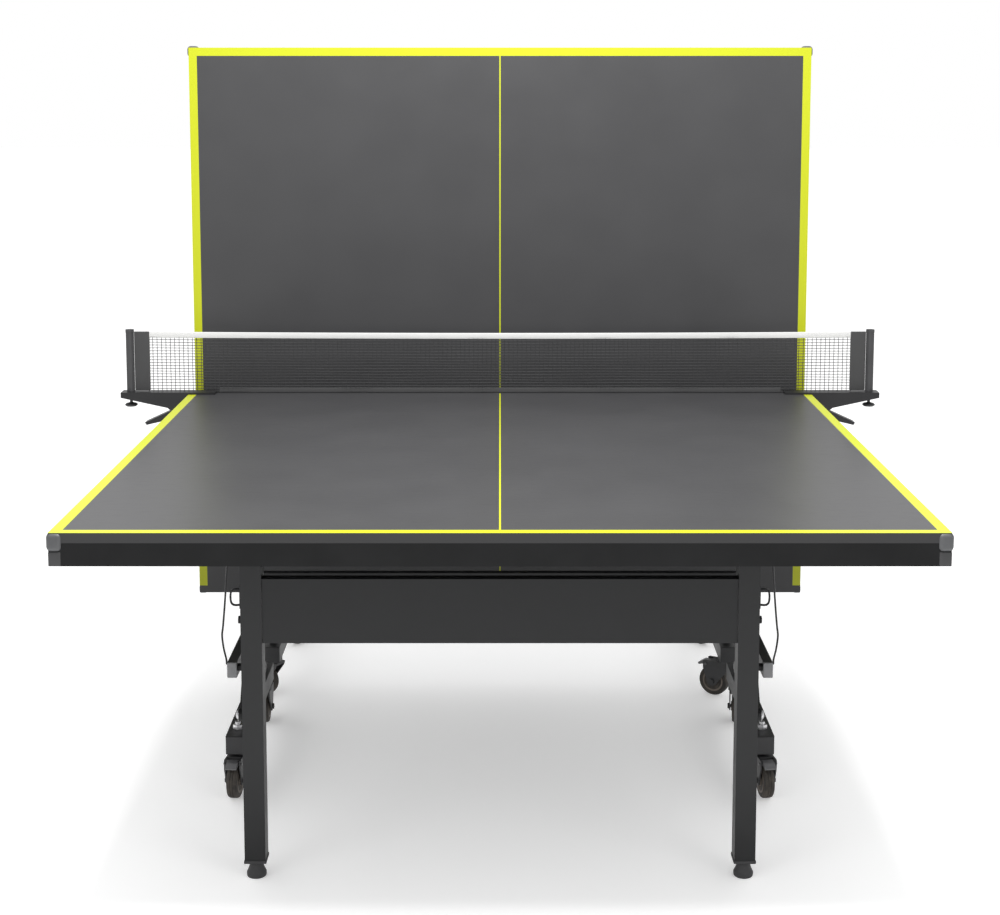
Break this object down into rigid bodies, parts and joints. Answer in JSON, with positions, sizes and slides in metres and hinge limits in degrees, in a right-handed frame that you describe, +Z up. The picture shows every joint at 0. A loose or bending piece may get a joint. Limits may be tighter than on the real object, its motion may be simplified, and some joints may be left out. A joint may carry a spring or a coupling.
{
  "type": "ping pong table",
  "caption": "Playback ping pong table in two rolling halves, one flat with a clamped net and one folded upright, on swinging legs, links, stays and casters.",
  "frame": {"origin": "on the floor at the middle of the footprint", "axes": "+X across the table along the net, +Y from the flat half to the upright half, +Z up"},
  "size_m": [1.856, 1.7804, 1.603],
  "materials": {
    "board": "satin dark grey paint on MDF",
    "frame": "black powder coat",
    "panel": "black powder coat",
    "zinc": "zinc plated",
    "tyre": "matte black tyre on a dark hub",
    "plastic": "matte black",
    "net": "black mesh with a white tape"
  },
  "bodies": {
    "near_trolley": {"near_trolley_side_left": "frame", "near_trolley_side_right": "frame", "near_trolley_cross_tube": "frame"},
    "near_top": {"near_board": "board", "near_top_frame": "frame", "net": "net", "net_clamp_left": "frame", "net_clamp_right": "frame", "net_post_left": "plastic", "net_post_right": "plastic"},
    "near_legs": {"near_leg_left": "frame", "near_leg_right": "frame", "near_leg_panel": "panel"},
    "near_links_left": {"near_leg_link_left": "frame"},
    "near_links_right": {"near_leg_link_right": "frame"},
    "near_stay_left": {"near_stay_rod_left": "zinc"},
    "near_handle_left": {"near_pull_handle_left": "zinc"},
    "near_foot_left": {"near_foot_left": "plastic"},
    "near_stay_right": {"near_stay_rod_right": "zinc"},
    "near_handle_right": {"near_pull_handle_right": "zinc"},
    "near_foot_right": {"near_foot_right": "plastic"},
    "near_outer_caster_left": {"near_outer_fork_left": "frame"},
    "near_outer_roller_left": {"near_outer_wheel_left": "tyre"},
    "near_outer_pedal_left": {"near_outer_brake_pedal_left": "plastic"},
    "near_inner_caster_left": {"near_inner_fork_left": "frame"},
    "near_inner_roller_left": {"near_inner_wheel_left": "tyre"},
    "near_outer_caster_right": {"near_outer_fork_right": "frame"},
    "near_outer_roller_right": {"near_outer_wheel_right": "tyre"},
    "near_outer_pedal_right": {"near_outer_brake_pedal_right": "plastic"},
    "near_inner_caster_right": {"near_inner_fork_right": "frame"},
    "near_inner_roller_right": {"near_inner_wheel_right": "tyre"},
    "far_trolley": {"far_trolley_side_left": "frame", "far_trolley_side_right": "frame", "far_trolley_cross_tube": "frame"},
    "far_top": {"far_board": "board", "far_top_frame": "frame"},
    "far_legs": {"far_leg_left": "frame", "far_leg_right": "frame", "far_leg_panel": "panel"},
    "far_links_left": {"far_leg_link_left": "frame"},
    "far_links_right": {"far_leg_link_right": "frame"},
    "far_stay_left": {"far_stay_rod_left": "zinc"},
    "far_handle_left": {"far_pull_handle_left": "zinc"},
    "far_foot_left": {"far_foot_left": "plastic"},
    "far_stay_right": {"far_stay_rod_right": "zinc"},
    "far_handle_right": {"far_pull_handle_right": "zinc"},
    "far_foot_right": {"far_foot_right": "plastic"},
    "far_outer_caster_left": {"far_outer_fork_left": "frame"},
    "far_outer_roller_left": {"far_outer_wheel_left": "tyre"},
    "far_inner_caster_left": {"far_inner_fork_left": "frame"},
    "far_inner_roller_left": {"far_inner_wheel_left": "tyre"},
    "far_inner_pedal_left": {"far_inner_brake_pedal_left": "plastic"},
    "far_outer_caster_right": {"far_outer_fork_right": "frame"},
    "far_outer_roller_right": {"far_outer_wheel_right": "tyre"},
    "far_inner_caster_right": {"far_inner_fork_right": "frame"},
    "far_inner_roller_right": {"far_inner_wheel_right": "tyre"},
    "far_inner_pedal_right": {"far_inner_brake_pedal_right": "plastic"},
    "lever_left": {"clamp_lever_left": "frame"},
    "lever_right": {"clamp_lever_right": "frame"}
  },
  "joints": [
    {"name": "near_top_fold", "type": "hinge", "parent": "near_trolley", "child": "near_top", "pos_m": [0, 0.03776, 0.675], "axis": [-1, 0, 0], "range_deg": [0, 90]},
    {"name": "near_legs_swing", "type": "hinge", "parent": "near_top", "child": "near_legs", "pos_m": [0, -0.56024, 0.675], "axis": [1, 0, 0], "range_deg": [0, 90]},
    {"name": "near_link_left_swing", "type": "hinge", "parent": "near_trolley", "child": "near_links_left", "pos_m": [0, 0.03776, 0.32], "axis": [-1, 0, 0], "range_deg": [0, 90]},
    {"name": "near_stay_left_swing", "type": "hinge", "parent": "near_top", "child": "near_stay_left", "pos_m": [0, -0.22024, 0.663], "axis": [1, 0, 0], "range_deg": [0, 90]},
    {"name": "near_handle_left_pull", "type": "slide", "parent": "near_trolley", "child": "near_handle_left", "axis": [-1, 0, 0], "range_m": [0, 0.008], "stiffness_N_per_m": 300},
    {"name": "near_foot_left_screw", "type": "slide", "parent": "near_legs", "child": "near_foot_left", "axis": [0, 0, -1], "range_m": [0, 0.01]},
    {"name": "near_outer_caster_left_swivel", "type": "hinge", "parent": "near_trolley", "child": "near_outer_caster_left", "pos_m": [-0.562, -0.15624, 0], "axis": [0, 0, 1], "continuous": true},
    {"name": "near_outer_wheel_left_spin", "type": "hinge", "parent": "near_outer_caster_left", "child": "near_outer_roller_left", "pos_m": [-0.56514, -0.18608, 0.0375], "axis": [-0.9945, 0.1045, 0], "continuous": true},
    {"name": "near_outer_pedal_left_press", "type": "hinge", "parent": "near_outer_caster_left", "child": "near_outer_pedal_left", "pos_m": [-0.56691, -0.20298, 0.08], "axis": [0.9945, -0.1045, 0], "range_deg": [0, 12]},
    {"name": "near_inner_caster_left_swivel", "type": "hinge", "parent": "near_trolley", "child": "near_inner_caster_left", "pos_m": [-0.562, 0.23176, 0], "axis": [0, 0, 1], "continuous": true},
    {"name": "near_inner_wheel_left_spin", "type": "hinge", "parent": "near_inner_caster_left", "child": "near_inner_roller_left", "pos_m": [-0.562, 0.26176, 0.0375], "axis": [1, 0, 0], "continuous": true},
    {"name": "near_link_right_swing", "type": "hinge", "parent": "near_trolley", "child": "near_links_right", "pos_m": [0, 0.03776, 0.32], "axis": [-1, 0, 0], "range_deg": [0, 90]},
    {"name": "near_stay_right_swing", "type": "hinge", "parent": "near_top", "child": "near_stay_right", "pos_m": [0, -0.22024, 0.663], "axis": [1, 0, 0], "range_deg": [0, 90]},
    {"name": "near_handle_right_pull", "type": "slide", "parent": "near_trolley", "child": "near_handle_right", "axis": [1, 0, 0], "range_m": [0, 0.008], "stiffness_N_per_m": 300},
    {"name": "near_foot_right_screw", "type": "slide", "parent": "near_legs", "child": "near_foot_right", "axis": [0, 0, -1], "range_m": [0, 0.01]},
    {"name": "near_outer_caster_right_swivel", "type": "hinge", "parent": "near_trolley", "child": "near_outer_caster_right", "pos_m": [0.562, -0.15624, 0], "axis": [0, 0, 1], "continuous": true},
    {"name": "near_outer_wheel_right_spin", "type": "hinge", "parent": "near_outer_caster_right", "child": "near_outer_roller_right", "pos_m": [0.56617, -0.18595, 0.0375], "axis": [-0.9903, -0.1392, 0], "continuous": true},
    {"name": "near_outer_pedal_right_press", "type": "hinge", "parent": "near_outer_caster_right", "child": "near_outer_pedal_right", "pos_m": [0.56854, -0.20278, 0.08], "axis": [0.9903, 0.1392, 0], "range_deg": [0, 12]},
    {"name": "near_inner_caster_right_swivel", "type": "hinge", "parent": "near_trolley", "child": "near_inner_caster_right", "pos_m": [0.562, 0.23176, 0], "axis": [0, 0, 1], "continuous": true},
    {"name": "near_inner_wheel_right_spin", "type": "hinge", "parent": "near_inner_caster_right", "child": "near_inner_roller_right", "pos_m": [0.56617, 0.26147, 0.0375], "axis": [0.9903, -0.1392, 0], "continuous": true},
    {"name": "far_top_fold", "type": "hinge", "parent": "far_trolley", "child": "far_top", "pos_m": [0, 0.63076, 0.675], "axis": [-1, 0, 0], "range_deg": [0, 90]},
    {"name": "far_legs_swing", "type": "hinge", "parent": "far_top", "child": "far_legs", "pos_m": [0, 0.63076, 1.273], "axis": [1, 0, 0], "range_deg": [0, 90]},
    {"name": "far_link_left_swing", "type": "hinge", "parent": "far_trolley", "child": "far_links_left", "pos_m": [0, 0.63076, 0.32], "axis": [-1, 0, 0], "range_deg": [0, 90]},
    {"name": "far_stay_left_swing", "type": "hinge", "parent": "far_top", "child": "far_stay_left", "pos_m": [0, 0.64276, 0.933], "axis": [1, 0, 0], "range_deg": [0, 90]},
    {"name": "far_handle_left_pull", "type": "slide", "parent": "far_trolley", "child": "far_handle_left", "axis": [-1, 0, 0], "range_m": [0, 0.008], "stiffness_N_per_m": 300},
    {"name": "far_foot_left_screw", "type": "slide", "parent": "far_legs", "child": "far_foot_left", "axis": [0, 0, -1], "range_m": [0, 0.01]},
    {"name": "far_outer_caster_left_swivel", "type": "hinge", "parent": "far_trolley", "child": "far_outer_caster_left", "pos_m": [-0.562, 0.82476, 0], "axis": [0, 0, 1], "continuous": true},
    {"name": "far_outer_wheel_left_spin", "type": "hinge", "parent": "far_outer_caster_left", "child": "far_outer_roller_left", "pos_m": [-0.55174, 0.85295, 0.0375], "axis": [0.9397, -0.342, 0], "continuous": true},
    {"name": "far_inner_caster_left_swivel", "type": "hinge", "parent": "far_trolley", "child": "far_inner_caster_left", "pos_m": [-0.562, 0.43676, 0], "axis": [0, 0, 1], "continuous": true},
    {"name": "far_inner_wheel_left_spin", "type": "hinge", "parent": "far_inner_caster_left", "child": "far_inner_roller_left", "pos_m": [-0.58798, 0.45176, 0.0375], "axis": [0.5, 0.866, 0], "continuous": true},
    {"name": "far_inner_pedal_left_press", "type": "hinge", "parent": "far_inner_caster_left", "child": "far_inner_pedal_left", "pos_m": [-0.6027, 0.46026, 0.08], "axis": [-0.5, -0.866, 0], "range_deg": [0, 12]},
    {"name": "far_link_right_swing", "type": "hinge", "parent": "far_trolley", "child": "far_links_right", "pos_m": [0, 0.63076, 0.32], "axis": [-1, 0, 0], "range_deg": [0, 90]},
    {"name": "far_stay_right_swing", "type": "hinge", "parent": "far_top", "child": "far_stay_right", "pos_m": [0, 0.64276, 0.933], "axis": [1, 0, 0], "range_deg": [0, 90]},
    {"name": "far_handle_right_pull", "type": "slide", "parent": "far_trolley", "child": "far_handle_right", "axis": [1, 0, 0], "range_m": [0, 0.008], "stiffness_N_per_m": 300},
    {"name": "far_foot_right_screw", "type": "slide", "parent": "far_legs", "child": "far_foot_right", "axis": [0, 0, -1], "range_m": [0, 0.01]},
    {"name": "far_outer_caster_right_swivel", "type": "hinge", "parent": "far_trolley", "child": "far_outer_caster_right", "pos_m": [0.562, 0.82476, 0], "axis": [0, 0, 1], "continuous": true},
    {"name": "far_outer_wheel_right_spin", "type": "hinge", "parent": "far_outer_caster_right", "child": "far_outer_roller_right", "pos_m": [0.54932, 0.85195, 0.0375], "axis": [0.9063, 0.4226, 0], "continuous": true},
    {"name": "far_inner_caster_right_swivel", "type": "hinge", "parent": "far_trolley", "child": "far_inner_caster_right", "pos_m": [0.562, 0.43676, 0], "axis": [0, 0, 1], "continuous": true},
    {"name": "far_inner_wheel_right_spin", "type": "hinge", "parent": "far_inner_caster_right", "child": "far_inner_roller_right", "pos_m": [0.53602, 0.45176, 0.0375], "axis": [0.5, 0.866, 0], "continuous": true},
    {"name": "far_inner_pedal_right_press", "type": "hinge", "parent": "far_inner_caster_right", "child": "far_inner_pedal_right", "pos_m": [0.5213, 0.46026, 0.08], "axis": [-0.5, -0.866, 0], "range_deg": [0, 12]},
    {"name": "far_half_roll", "type": "slide", "parent": "near_trolley", "child": "far_trolley", "axis": [0, 1, 0], "range_m": [0, 0.362]},
    {"name": "lever_left_press", "type": "hinge", "parent": "near_top", "child": "lever_left", "pos_m": [-0.79, 0.46376, 0.7055], "axis": [0, 1, 0], "range_deg": [0, 12], "stiffness_Nm_per_rad": 3},
    {"name": "lever_right_press", "type": "hinge", "parent": "near_top", "child": "lever_right", "pos_m": [0.79, 0.46376, 0.7055], "axis": [0, -1, 0], "range_deg": [0, 12], "stiffness_Nm_per_rad": 3}
  ],
  "couplings": [
    {"joint": "near_legs_swing", "follows": "near_top_fold", "ratio": 1},
    {"joint": "near_link_left_swing", "follows": "near_top_fold", "ratio": 1},
    {"joint": "near_stay_left_swing", "follows": "near_top_fold", "ratio": 1},
    {"joint": "near_link_right_swing", "follows": "near_top_fold", "ratio": 1},
    {"joint": "near_stay_right_swing", "follows": "near_top_fold", "ratio": 1},
    {"joint": "far_legs_swing", "follows": "far_top_fold", "ratio": 1},
    {"joint": "far_link_left_swing", "follows": "far_top_fold", "ratio": 1},
    {"joint": "far_stay_left_swing", "follows": "far_top_fold", "ratio": 1},
    {"joint": "far_link_right_swing", "follows": "far_top_fold", "ratio": 1},
    {"joint": "far_stay_right_swing", "follows": "far_top_fold", "ratio": 1},
    {"joint": "far_half_roll", "follows": "far_top_fold", "m_per_rad": 0.22982}
  ]
}
